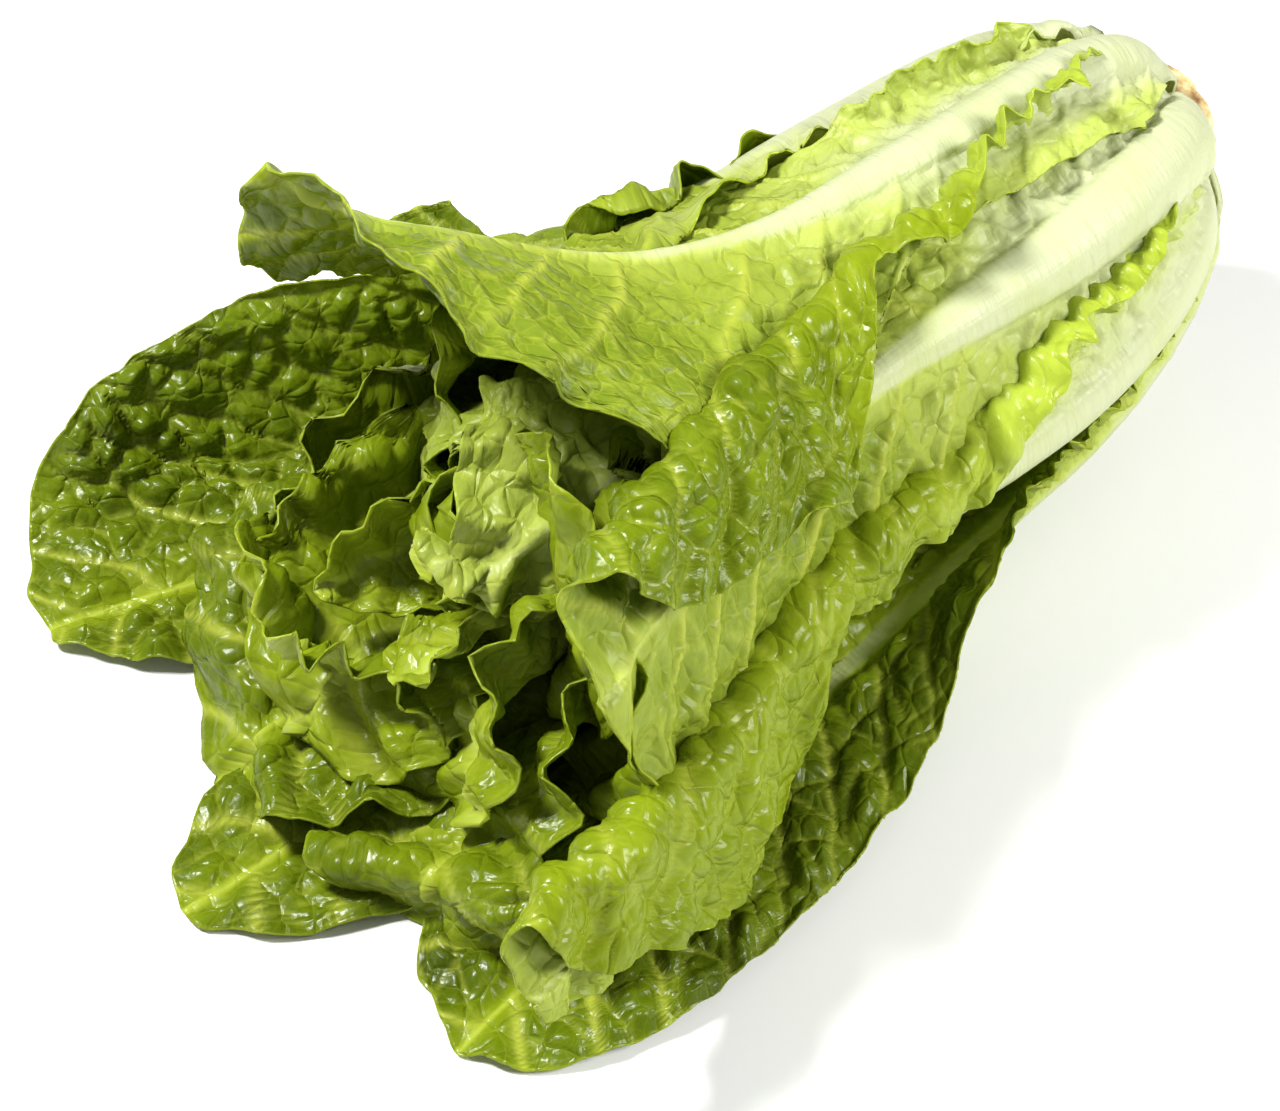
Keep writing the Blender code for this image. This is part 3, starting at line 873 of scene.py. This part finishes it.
def leaf_finish(name, greens, roughness, net_share, glow):
    """One face of the leaves: roughness and the strength of its net and glow differ."""
    made = bpy.data.materials.new(name)
    made.use_nodes = True
    tree = made.node_tree
    shader = tree.nodes["Principled BSDF"]
    flat = attribute(tree, "flat")
    place = flat.outputs["Vector"]
    net = cell_edges(tree, wandering(tree, place, 220.0, 0.0016), NET_SCALE)
    lines = ramp(tree, net, ((0.0, ALL), (0.08, NO)))
    crumple = cell_edges(tree, wandering(tree, place, 90.0, 0.006), CRUMPLE_SCALE)
    domes = ramp(tree, crumple, ((0.0, NO), (0.12, SOME), (0.38, ALL)))
    furrows = ramp(tree, crumple, ((0.0, ALL), (0.06, NO)))
    grain = speckle(tree, place, 900.0, Detail=4.0, Roughness=0.6)
    patches = speckle(tree, place, 70.0, Detail=3.0)

    green = attribute(tree, "green").outputs["Fac"]
    varied = sums(tree, "MULTIPLY_ADD", sums(tree, "SUBTRACT", patches.outputs["Fac"], 0.5), 0.22)
    link(tree, green, varied.node.inputs[2])
    colour = ramp(tree, varied, greens)
    off_rib = ramp(tree, green, ((0.10, NO), (0.35, ALL)))
    both_nets = sums(tree, "MAXIMUM", lines, sums(tree, "MULTIPLY", furrows, 1.5))
    netted = sums(tree, "MULTIPLY", both_nets, sums(tree, "MULTIPLY", off_rib, net_share))
    colour = mixed(tree, "MIX", netted, colour, NET_COLOUR)
    vein = attribute(tree, "vein").outputs["Fac"]
    veined = sums(tree, "MULTIPLY", vein, sums(tree, "MULTIPLY", green, 0.95))
    colour = mixed(tree, "MIX", veined, colour, VEIN_COLOUR)
    inwards = attribute(tree, "inwards").outputs["Fac"]
    # A thin line along each edge is painted glow: light through the thin margin, mixed into the
    # base colour.
    edge_glow = ramp(tree, inwards, ((0.0, SOME), (0.14, NO)))
    colour = mixed(tree, "MIX", sums(tree, "MULTIPLY", edge_glow, green), colour, EDGE_GLOW_COLOUR)
    link(tree, colour, shader.inputs["Base Color"])

    pillows = ramp(tree, net, ((0.0, NO), (0.40, ALL)))
    cells = sums(tree, "MULTIPLY_ADD", domes, 3.2)
    link(tree, sums(tree, "MULTIPLY", pillows, 0.5), cells.node.inputs[2])
    cells = sums(tree, "MULTIPLY", cells, off_rib)
    height = sums(tree, "MULTIPLY_ADD", grain.outputs["Fac"], 0.16)
    link(tree, sums(tree, "ADD", cells, striae(tree, flat, off_rib)), height.node.inputs[2])
    bump = shader_node(tree, "ShaderNodeBump", Strength=0.6, Distance=0.0003)
    link(tree, height, bump.inputs["Height"])
    link(tree, bump.outputs["Normal"], shader.inputs["Normal"])
    rough = sums(tree, "MULTIPLY_ADD", patches.outputs["Fac"], 0.16)
    rough.node.inputs[2].default_value = roughness - 0.08
    link(tree, rough, shader.inputs["Roughness"])
    shader.inputs["IOR"].default_value = 1.45
    shader.inputs["Specular IOR Level"].default_value = 0.35

    behind = tree.nodes.new("ShaderNodeBsdfTranslucent")
    link(tree, mixed(tree, "MULTIPLY", 1.0, colour, (1.25, 1.3, 0.55, 1)), behind.inputs["Color"])
    link(tree, bump.outputs["Normal"], behind.inputs["Normal"])
    both = shader_node(tree, "ShaderNodeMixShader")
    both.inputs["Fac"].default_value = glow
    link(tree, shader.outputs["BSDF"], both.inputs[1])
    link(tree, behind.outputs["BSDF"], both.inputs[2])
    link(tree, both.outputs["Shader"], tree.nodes["Material Output"].inputs["Surface"])
    return made


inner_face = leaf_finish(
    "leaf_inner_face", INNER_GREENS, roughness=0.28, net_share=0.11, glow=0.25)
outer_face = leaf_finish(
    "leaf_outer_face", OUTER_GREENS, roughness=0.38, net_share=0.32, glow=0.25)
print("finishes", inner_face.name, outer_face.name)

# %% [markdown]
# ## All the leaves
# With the recipe and the two finishes ready, the leaves are grown one after the other. Each is
# a closed piece of its own with its own mesh, as each leaf of a real head can be pulled off.

# %% Grow all the leaves
for name, leaf in LEAVES.items():
    made = grow(name, leaf, (inner_face, outer_face))
    print(made.name, len(made.data.polygons) * 2, "triangles")

# %% [markdown]
# ## The stem
# Only the cut end shows. It is a cream stub that has dried and browned since it was cut. A
# cylinder would do for a clean cut, but this one is ragged, so a grid is wrapped round the
# profile of the stem and pushed in and out by noise.

# %% The stem
STEM_GRID = (120, 90)


def stem_finish():
    made = bpy.data.materials.new("stem_cut")
    made.use_nodes = True
    tree = made.node_tree
    shader = tree.nodes["Principled BSDF"]
    place = tree.nodes.new("ShaderNodeTexCoord").outputs["Object"]
    stain = shader_node(tree, "ShaderNodeTexNoise", Scale=170.0, Detail=6.0, Roughness=0.65)
    link(tree, place, stain.inputs["Vector"])
    colour = ramp(tree, stain.outputs["Fac"], ((0.38, (0.78, 0.72, 0.42, 1)),
                                               (0.52, (0.60, 0.45, 0.20, 1)),
                                               (0.66, (0.25, 0.12, 0.045, 1))))
    link(tree, colour, shader.inputs["Base Color"])
    bump = shader_node(tree, "ShaderNodeBump", Strength=0.8, Distance=0.0008)
    link(tree, stain.outputs["Fac"], bump.inputs["Height"])
    link(tree, bump.outputs["Normal"], shader.inputs["Normal"])
    shader.inputs["Roughness"].default_value = 0.62
    return made


bpy.ops.object.select_all(action="DESELECT")
bpy.ops.mesh.primitive_grid_add(x_subdivisions=STEM_GRID[0], y_subdivisions=STEM_GRID[1], size=2)
stem = bpy.context.object
stem.name = stem.data.name = "cut_stem"
flat = np.empty(len(stem.data.vertices) * 3)
stem.data.vertices.foreach_get("co", flat)
flat = flat.reshape(-1, 3)
turn = math.pi * flat[:, 0]
along = (flat[:, 1] + 1) / 2
places = np.array([STEM_PROFILE[0][0]] + [place for place, _ in STEM_PROFILE] + [65.5])
radii = np.array([0.0] + [radius for _, radius in STEM_PROFILE] + [0.0])
steps = np.concatenate([[0], np.cumsum(np.hypot(np.diff(places), np.diff(radii)))])
walked = along * steps[-1]
place = np.interp(walked, steps, places)
radius = np.interp(walked, steps, radii)
ragged = noise(turn * 4, walked * 0.35, 301) + 0.6 * noise(turn * 11, walked * 0.9, 302)
ragged = ragged * (1 - smooth(np.abs(np.abs(flat[:, 0]) - 1), 0.02, 0.0))
on_cut = 1 - smooth(walked, steps[1] - 2, steps[1] + 3)
place = place - 0.8 * ragged * on_cut
radius = radius * (1 + 0.05 * ragged * (1 - on_cut) * smooth(radius, 0, 3))
stem_points = np.stack([
    radius * np.sin(turn) * MM,
    -place * MM,
    radius * np.cos(turn) * MM + AXIS_HEIGHT + butt_rise(place * MM),
], axis=-1) + HEAD
stem.data.vertices.foreach_set("co", stem_points.ravel())
stem.data.materials.append(stem_finish())
bpy.ops.object.mode_set(mode="EDIT")
bpy.ops.mesh.select_all(action="SELECT")
bpy.ops.mesh.remove_doubles(threshold=2e-5)
bpy.ops.mesh.normals_make_consistent(inside=False)
bpy.ops.object.mode_set(mode="OBJECT")
finish_mesh(stem)
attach(stem, "root")
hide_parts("stem")
print("stem", [round(value / MM, 1) for value in stem.dimensions], "mm")

# %% [markdown]
# ## The table
# The head lies on a pale, matt table. It is staging and no part of the object.

# %% Table
bpy.ops.object.select_all(action="DESELECT")
bpy.ops.mesh.primitive_plane_add(size=6, location=(0, 0, 0))
table = bpy.context.object
table.name = "table"
table_finish = bpy.data.materials.new("table_top")
table_finish.use_nodes = True
matt = table_finish.node_tree.nodes["Principled BSDF"]
matt.inputs["Base Color"].default_value = (0.90, 0.90, 0.89, 1)
matt.inputs["Roughness"].default_value = 0.7
table.data.materials.append(table_finish)
print("table", [round(value, 1) for value in table.dimensions], "m")

# %% [markdown]
# ## The camera
# It looks down on the crown from the near side, from a metre away through a long lens. A long
# lens flattens the head a little, as when fruit and vegetables are shown in a catalogue. The
# camera's three directions are worked out once, because the lamps are placed by them too.

# %% Camera
VIEW_AZIMUTH, VIEW_ELEVATION = math.radians(50.5), math.radians(49.74)
VIEW_DISTANCE = 1.0
LENS = 119.25
SENSOR_WIDTH = 36
LOOK_SIDE = 13.1 * MM
LOOK_FROM_BUTT = 169.8 * MM
LOOK_HEIGHT = 26.8 * MM
back = np.array([math.sin(VIEW_AZIMUTH) * math.cos(VIEW_ELEVATION),
                 -math.cos(VIEW_AZIMUTH) * math.cos(VIEW_ELEVATION), math.sin(VIEW_ELEVATION)])
right = np.array([math.cos(VIEW_AZIMUTH), math.sin(VIEW_AZIMUTH), 0])
above = np.cross(back, right)
look = np.array([LOOK_SIDE, stem_high.y - LOOK_FROM_BUTT, LOOK_HEIGHT])
bpy.ops.object.camera_add()
camera = bpy.context.object
camera.data.lens = LENS
camera.data.sensor_width = SENSOR_WIDTH
camera.matrix_world = Matrix.Translation(Vector(look + back * VIEW_DISTANCE)) @ Matrix(
    np.stack([right, above, back], axis=1).tolist()).to_4x4()
camera.data.clip_start = 0.05
bpy.context.scene.camera = camera
print("camera looks at", np.round((look - HEAD) / MM, 1), "mm from the head's start")

# %% [markdown]
# ## The lamps
# A fairly small lamp high on the left makes the highlights on the wax. A larger, weaker one on
# the right and a pale world fill the shadows between the leaves. One big lamp would be softer,
# but it would wash out the blisters. The view's gamma, a little under one, deepens the mid
# tones, so that the greens keep their strength beside the nearly white table.

# %% Lamps
def lamp(name, sideways, up, towards, size, power):
    """An area lamp placed as seen from the camera, in metres from the middle of the head."""
    spot = look + right * sideways + above * up + back * towards
    bpy.ops.object.light_add(type="AREA", location=spot)
    made = bpy.context.object
    made.name = name
    made.data.size = size
    made.data.energy = power
    made.rotation_mode = "QUATERNION"
    made.rotation_quaternion = Vector(spot - look).to_track_quat("Z", "Y")
    return made


lamp("key_lamp", sideways=-0.58, up=0.66, towards=0.66, size=0.22, power=18)
lamp("fill_lamp", sideways=0.80, up=0.2, towards=0.7, size=0.40, power=12)
world = bpy.data.worlds.new("studio")
world.use_nodes = True
world.node_tree.nodes["Background"].inputs["Color"].default_value = (1, 1, 1, 1)
world.node_tree.nodes["Background"].inputs["Strength"].default_value = 0.28
bpy.context.scene.world = world
view = bpy.context.scene.view_settings
view.view_transform = "Standard"
view.look = "None"
view.exposure = 0.0
view.gamma = 0.92
